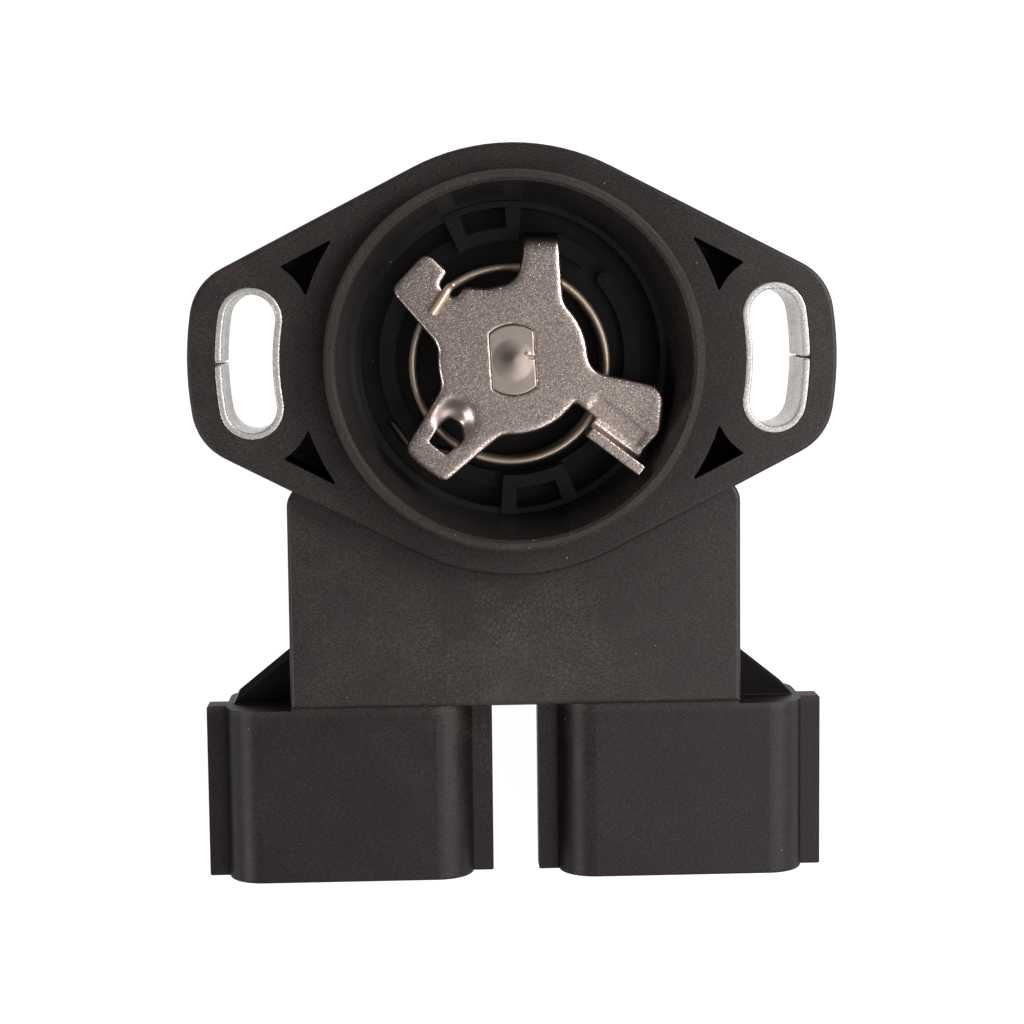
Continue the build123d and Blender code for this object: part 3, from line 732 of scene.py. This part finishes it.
def softened_piece(name, node, material, fineness, rounds):
    """Return a node's shape with its edges rounded off, as tumbling leaves them, in its node's place."""
    piece = new_piece(name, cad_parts[node].data.copy(), material)
    remesh = piece.modifiers.new("fine_skin", "REMESH")
    remesh.mode = "VOXEL"
    remesh.voxel_size = fineness
    remesh.use_smooth_shade = True
    smooth = piece.modifiers.new("tumbled", "SMOOTH")
    smooth.factor = SMOOTHING
    smooth.iterations = rounds
    settled_mesh(piece)
    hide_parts(node)
    return piece


def ease(piece, share_of, rounds):
    """Smooth a piece by the share that a rule gives for each place."""
    group = piece.vertex_groups.new(name="eased")
    for point in piece.data.vertices:
        share = share_of(point.co.xy)
        if share > 0.0:
            group.add([point.index], min(1.0, share), "REPLACE")
    smooth = piece.modifiers.new("eased", "SMOOTH")
    smooth.factor = SMOOTHING
    smooth.iterations = rounds
    smooth.vertex_group = group.name
    settled_mesh(piece)
    piece.vertex_groups.clear()


def dent(piece, line, width, depth, floor):
    """Press a groove along a line into the surface above a level, or raise a burr with a depth below zero."""
    start, end = [Vector(point) for point in line]
    along = end - start
    for point in piece.data.vertices:
        if point.co.z < floor:
            continue
        share = min(1.0, max(0.0, (point.co.xy - start).dot(along) / along.length_squared))
        near = 1.0 - (point.co.xy - start - share * along).length / width
        if near > 0.0:
            point.co.z -= depth * near * (2.0 - near)


class SENSOR_OT_case(Operator):
    """Finish the moulded case"""

    bl_idname = "sensor.case"
    bl_label = "Case"

    def execute(self, context):
        case = context.scene.sensor.case
        wear("housing", moulded_finish("case_plastic", case, CaseMoulding))
        return {"FINISHED"}


class SENSOR_OT_back(Operator):
    """Finish the cover and the resin that seals it"""

    bl_idname = "sensor.back"
    bl_label = "Back"

    RESIN = ((0.010, 0.010, 0.010), (0.020, 0.019, 0.018))

    def execute(self, context):
        case = context.scene.sensor.case
        wear("rear_cover", moulded_finish("cover_plastic", case, Moulding))
        wear("potting", smooth_finish("sealing_resin", *self.RESIN, grain=2.5 * MM, depth=0.12 * MM,
                                      roughness=0.14, IOR=1.54))
        return {"FINISHED"}


class SENSOR_OT_lever(Operator):
    """Finish the pressed lever and the shaft's turned end"""

    bl_idname = "sensor.lever"
    bl_label = "Lever"

    # Lever: its dish, fold and hole, and how its edges are rounded
    CONTRAST = 0.55
    DISH = Vector((-6.85 * MM, -6.75 * MM))
    DISH_LEVEL = -2.3 * MM
    DISH_REACH = 5.0 * MM
    DISH_CALM = 2.8 * MM
    FOLD = Vector((11.5 * MM, -10.0 * MM))
    FOLD_REACH = 5.0 * MM
    HOLE = Vector((-7.9 * MM, -9.1 * MM))
    HOLE_REACH = 1.7 * MM
    SLOT_REACH = 4.4 * MM
    BLEND = 1.2 * MM
    HOLE_BLEND = 0.7 * MM
    SHEET_ROUNDS = 4
    RIM_ROUNDS = 50
    DISH_ROUNDS = 70

    # Foot of the lever, which bends down into the well, with shade painted on it
    FOOT_BEND = (14.0 * MM, 12.2 * MM)
    FOOT_SHADED_SHARE = 0.25

    # Shaft's end: turned and a little crowned, with a spot of painted shade, a nick and its burr
    SHAFT_COLOUR = (0.62, 0.51, 0.45)
    SHAFT_RING = 0.17 * MM
    SHAFT_RELIEF = 0.008 * MM
    SHAFT_ROUGHNESS = 0.38
    SHAFT_FINENESS = 0.65
    SHAFT_ROUNDS = 1
    SHAFT_FACE = -1.98 * MM
    CROWN_REACH = 3.4 * MM
    CROWN_ROUNDS = 24
    SHAFT_SHADE_SPOT = ((-0.55 * MM, 0.35 * MM, -1.7 * MM), 2.0 * MM)
    NICK = ((1.75 * MM, 0.35 * MM), (2.5 * MM, 0.20 * MM))
    NICK_WIDTH = 0.20 * MM
    NICK_DEPTH = 0.25 * MM
    BURR = ((1.60 * MM, 0.75 * MM), (1.75 * MM, 0.70 * MM))
    BURR_WIDTH = 0.25 * MM
    BURR_HEIGHT = 0.08 * MM

    def execute(self, context):
        lever = context.scene.sensor.lever
        steel = metal_finish("lever_steel", lever.colour, lever.grain, lever.depth, lever.roughness,
                             self.CONTRAST, self.foot_shade, ((*self.DISH, self.DISH_LEVEL), self.DISH_CALM))
        sheet = softened_piece("lever_sheet", "lever", steel, lever.softness,
                               self.SHEET_ROUNDS)
        ease(sheet, self.rim_share, self.RIM_ROUNDS)
        ease(sheet, self.dish_share, self.DISH_ROUNDS)
        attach(sheet, "rotor")
        turned = turned_finish("shaft_steel", self.SHAFT_COLOUR, self.SHAFT_RING, self.SHAFT_RELIEF,
                               self.SHAFT_ROUGHNESS, self.SHAFT_SHADE_SPOT)
        shaft = softened_piece("shaft_end", "rotor_shaft", turned,
                               self.SHAFT_FINENESS * lever.softness, self.SHAFT_ROUNDS)
        ease(shaft, self.crown_share, self.CROWN_ROUNDS)
        dent(shaft, self.NICK, self.NICK_WIDTH, self.NICK_DEPTH, self.SHAFT_FACE)
        dent(shaft, self.BURR, self.BURR_WIDTH, -self.BURR_HEIGHT, self.SHAFT_FACE)
        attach(shaft, "rotor")
        return {"FINISHED"}

    def foot_shade(self, tree, place):
        """Return the share of brightness on the lever, less on its foot, where shade is painted."""
        return ramp(tree, axes_of(tree, place)["Y"], *self.FOOT_BEND, self.FOOT_SHADED_SHARE, 1.0)

    def rim_share(self, place):
        """Return how far the lever's edges are rounded, less beside the shaft, the fold and the hole."""
        beyond = min(place.length - self.SLOT_REACH, (place - self.FOLD).length - self.FOLD_REACH)
        return min(beyond / self.BLEND, self.hole_share(place))

    def dish_share(self, place):
        """Return how far the pressed dish is smoothed at a place, less beside the hole punched through it."""
        return min(2.0 - 2.0 * (place - self.DISH).length / self.DISH_REACH, self.hole_share(place))

    def hole_share(self, place):
        """Return how far a place is clear of the punched hole, whose edges stay sharp."""
        return ((place - self.HOLE).length - self.HOLE_REACH) / self.HOLE_BLEND

    def crown_share(self, place):
        """Return how far the shaft's crown is rounded at a place."""
        return 1.0 - place.length / self.CROWN_REACH


class SENSOR_OT_spring(Operator):
    """Wind the return spring from its tail to its hook"""

    bl_idname = "sensor.spring"
    bl_label = "Return spring"

    # Tail in the groove of the well, its angles in degrees, and hook over the lever
    TAIL_RADIUS = 15.95 * MM
    TAIL_END = 208.0
    TAIL_BEND = 221.0
    TAIL_BEND_RADIUS = 1.2 * MM
    HOOK_LEAD = 1.2 * MM
    HOOK_END = (-9.15 * MM, 5.35 * MM)
    HOOK_BEND_RADIUS = 0.9 * MM
    STEPS_PER_TURN = 72

    # Wire, with shade painted on its tail, outside the coil
    TAIL_START = (11.9 * MM, 12.5 * MM)
    TAIL_SHADED_SHARE = 0.15

    def execute(self, context):
        spring = context.scene.sensor.spring
        low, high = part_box("return_spring")
        bottom = low.z + spring.wire_radius
        top = high.z - spring.wire_radius
        start = radians(self.TAIL_BEND) + atan(sqrt(self.TAIL_RADIUS**2 - spring.coil_radius**2)
                                               / spring.coil_radius)
        steps = round(spring.turns * self.STEPS_PER_TURN)
        coil = []
        for step in range(steps + 1):
            turned = spring.turns * step / steps
            angle = start + 2 * pi * turned
            coil.append(Vector((spring.coil_radius * cos(angle) - spring.coil_left,
                                spring.coil_radius * sin(angle) - spring.coil_drop,
                                bottom + spring.pitch * turned)))
        lead = coil[-1] + (coil[-1] - coil[-2]).normalized() * self.HOOK_LEAD
        hook = rounded_path([coil[-1], lead, (lead.x, lead.y, top), (*self.HOOK_END, top)],
                            self.HOOK_BEND_RADIUS)
        ends = [(self.TAIL_RADIUS * cos(radians(angle)), self.TAIL_RADIUS * sin(radians(angle)), bottom)
                for angle in (self.TAIL_END, self.TAIL_BEND)]
        tail = rounded_path([*ends, coil[0]], self.TAIL_BEND_RADIUS)
        mesh = tube_mesh("return_spring_wire", tail[:-1] + coil + hook[1:], spring.wire_radius)
        wire = metal_finish("spring_steel", spring.colour, grain=0.30 * MM, depth=0.002 * MM, roughness=0.42,
                            contrast=0.06, shade_rule=self.tail_shade, metallic=0.85)
        piece = new_piece("return_spring_wire", mesh, wire)
        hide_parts("return_spring")
        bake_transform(piece)
        return {"FINISHED"}

    def tail_shade(self, tree, place):
        """Return the share of brightness on the spring, less on its tail, where shade is painted."""
        return ramp(tree, distance_from_shaft(tree, place), *self.TAIL_START, 1.0, self.TAIL_SHADED_SHARE)


class SENSOR_OT_sleeves(Operator):
    """Finish the split sleeves in the screw slots"""

    bl_idname = "sensor.sleeves"
    bl_label = "Slot sleeves"

    ZINC = (0.76, 0.735, 0.71)
    FINENESS = 0.115 * MM
    ROUNDS = 8

    def execute(self, context):
        zinc = metal_finish("sleeve_zinc", self.ZINC, grain=0.22 * MM, depth=0.040 * MM, roughness=0.50,
                            contrast=0.30)
        for side in ("left", "right"):
            roll = softened_piece(f"{side}_sleeve_roll", f"{side}_slot_sleeve", zinc,
                                  self.FINENESS, self.ROUNDS)
            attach(roll, "housing")
        return {"FINISHED"}


class SENSOR_OT_contacts(Operator):
    """Finish the terminals, the board and the pieces inside"""

    bl_idname = "sensor.contacts"
    bl_label = "Contacts and bearings"

    # Metals, and the darker and paler tones of the rest
    TIN = (0.72, 0.70, 0.66)
    BRASS = (0.76, 0.62, 0.38)
    BRONZE = (0.55, 0.38, 0.20)
    SPRUNG_STEEL = (0.50, 0.50, 0.50)
    LAMINATE = ((0.06, 0.13, 0.07), (0.09, 0.18, 0.10))
    RUBBER = ((0.012, 0.012, 0.012), (0.022, 0.021, 0.021))
    WASHER = ((0.68, 0.66, 0.60), (0.76, 0.74, 0.68))
    CARRIER = ((0.03, 0.03, 0.03), (0.05, 0.048, 0.046))
    PLATED_CONTRAST = 0.08

    def execute(self, context):
        tin = metal_finish("terminal_tin", self.TIN, grain=0.25 * MM, depth=0.008 * MM, roughness=0.28,
                           contrast=self.PLATED_CONTRAST)
        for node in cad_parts:
            if node.startswith("terminal_"):
                wear(node, tin)
        brass = metal_finish("contact_metal", self.BRASS, grain=0.20 * MM, depth=0.005 * MM, roughness=0.25,
                             contrast=self.PLATED_CONTRAST)
        wear("track_wiper", brass)
        wear("switch_wiper", brass)
        wear("shaft_bush", metal_finish("bush_bronze", self.BRONZE, grain=0.25 * MM, depth=0.02 * MM,
                                        roughness=0.45))
        wear("retaining_clip", metal_finish("clip_steel", self.SPRUNG_STEEL, grain=0.20 * MM,
                                            depth=0.006 * MM, roughness=0.3, contrast=self.PLATED_CONTRAST))
        wear("resistor_board", smooth_finish("board_laminate", *self.LAMINATE, grain=0.6 * MM,
                                             depth=0.01 * MM, roughness=0.4))
        wear("shaft_seal", smooth_finish("seal_rubber", *self.RUBBER, grain=0.5 * MM,
                                         depth=0.02 * MM, roughness=0.55))
        wear("thrust_washer", smooth_finish("washer_plastic", *self.WASHER, grain=0.8 * MM,
                                            depth=0.01 * MM, roughness=0.4))
        wear("wiper_carrier", smooth_finish("carrier_plastic", *self.CARRIER, grain=0.5 * MM,
                                            depth=0.015 * MM, roughness=0.5))
        return {"FINISHED"}


class SENSOR_OT_stage(Operator):
    """Set the floor, the lights and the camera"""

    bl_idname = "sensor.stage"
    bl_label = "Stage"

    WHITE = (1.0, 1.0, 1.0, 1.0)
    FLOOR_SIZE = 3.0
    FLOOR_TONE = 0.97

    # Camera: the part's turns in degrees about X, Y and Z, and its place in the camera's view
    TURN = (5.802, 2.229, 0.856)
    SHIFT = (0.207 * MM, 17.103 * MM)
    DISTANCE = 260.0 * MM
    NEAREST = 10 * MM

    def execute(self, context):
        scene = context.scene
        stage = scene.sensor.stage
        bpy.ops.mesh.primitive_plane_add(size=self.FLOOR_SIZE, location=(0, 0, CAD_BOX[0][2]))
        floor = context.active_object
        floor.name = "floor"
        darker = [self.FLOOR_TONE * part for part in stage.floor]
        floor.data.materials.append(smooth_finish("floor_table", darker, stage.floor, grain=4 * MM,
                                                  depth=0.01 * MM, roughness=0.8, Emission_Color=self.WHITE,
                                                  Emission_Strength=stage.glow))
        self.add_light("left_light", stage.left, place=(-0.54, -0.20, 0.37), size=(0.28, 0.16))
        self.add_light("right_light", stage.right, place=(0.53, 0.22, 0.40), size=(0.32, 0.15))
        self.add_light("top_light", stage.top, place=(0.35, -0.16, 0.50), size=(0.6, 0.5))
        world = bpy.data.worlds.new("studio")
        world.use_nodes = True
        background = world.node_tree.nodes["Background"]
        background.inputs["Color"].default_value = self.WHITE
        background.inputs["Strength"].default_value = stage.sky
        scene.world = world
        scene.view_settings.view_transform = "Standard"
        self.add_camera(scene, stage.lens)
        return {"FINISHED"}

    def add_light(self, name, power, place, size):
        """Add a soft box that faces the hub."""
        data = bpy.data.lights.new(name, "AREA")
        data.energy = power
        data.shape = "RECTANGLE"
        data.size, data.size_y = size
        light = bpy.data.objects.new(name, data)
        light.location = place
        light.rotation_euler = Vector(place).to_track_quat("Z", "Y").to_euler()
        bpy.context.scene.collection.objects.link(light)

    def add_camera(self, scene, lens):
        """Add the camera where the photograph was taken from."""
        data = bpy.data.cameras.new("camera")
        data.lens = lens
        data.clip_start = self.NEAREST
        camera = bpy.data.objects.new("camera", data)
        turn_x, turn_y, turn_z = [radians(angle) for angle in self.TURN]
        turn = (Matrix.Rotation(turn_z, 4, "Z") @ Matrix.Rotation(turn_y, 4, "Y")
                @ Matrix.Rotation(turn_x, 4, "X"))
        right, up = self.SHIFT
        step = Matrix.Translation((-right, -up, self.DISTANCE))
        camera.matrix_world = turn.inverted() @ step
        scene.collection.objects.link(camera)
        scene.camera = camera


class SENSOR_PT_panel(Panel):
    """Everything that dresses the sensor."""

    bl_idname = "SENSOR_PT_panel"
    bl_label = "Throttle Position Sensor"
    bl_space_type = "VIEW_3D"
    bl_region_type = "UI"
    bl_category = "Sensor"

    def draw(self, context):
        sensor = context.scene.sensor
        for group in (sensor.case, sensor.lever, sensor.spring, sensor.stage):
            column = self.layout.box().column()
            for name in group.__annotations__:
                column.prop(group, name)
        for operator in OPERATORS:
            self.layout.operator(operator.bl_idname)


OPERATORS = [SENSOR_OT_case, SENSOR_OT_back, SENSOR_OT_lever, SENSOR_OT_spring, SENSOR_OT_sleeves,
             SENSOR_OT_contacts, SENSOR_OT_stage]
CLASSES = [SENSOR_PG_case, SENSOR_PG_lever, SENSOR_PG_spring, SENSOR_PG_stage, SENSOR_PG_all,
           *OPERATORS, SENSOR_PT_panel]


def register():
    """Add the sensor's classes and its settings."""
    for item in CLASSES:
        bpy.utils.register_class(item)
    bpy.types.Scene.sensor = PointerProperty(type=SENSOR_PG_all)


def unregister():
    """Take the sensor's classes and its settings away again."""
    del bpy.types.Scene.sensor
    for item in reversed(CLASSES):
        bpy.utils.unregister_class(item)


def main():
    """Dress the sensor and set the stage."""
    register()
    bpy.ops.sensor.case()
    bpy.ops.sensor.back()
    bpy.ops.sensor.lever()
    bpy.ops.sensor.spring()
    bpy.ops.sensor.sleeves()
    bpy.ops.sensor.contacts()
    bpy.ops.sensor.stage()


if __name__ == "__main__":
    main()
